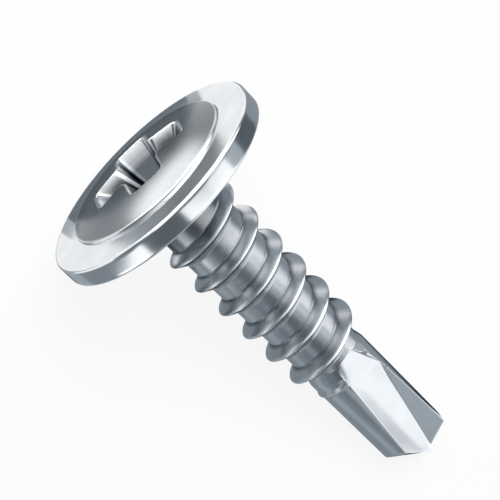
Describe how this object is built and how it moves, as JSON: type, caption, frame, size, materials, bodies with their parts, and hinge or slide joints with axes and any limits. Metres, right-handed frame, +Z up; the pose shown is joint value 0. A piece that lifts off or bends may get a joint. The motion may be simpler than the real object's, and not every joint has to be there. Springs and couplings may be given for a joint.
{
  "type": "self drilling screw",
  "caption": "Self drilling screw with a wide washer head, a low dome with a cross recess, a coarse thread and a fluted drill point, lying down.",
  "frame": {"origin": "centre of the bottom of the bounding box of the lying screw, on the surface it lies on", "axes": "+X from the head to the drill point along the surface, +Z up; the screw's own axis falls by 13.9 degrees from the head to the point"},
  "size_m": [0.02, 0.0104, 0.0104],
  "materials": {
    "zinc_plated_steel": "bright zinc plating, satin to glossy, with soft grey reflections"
  },
  "bodies": {
    "root": {"screw": "zinc_plated_steel"}
  },
  "joints": []
}
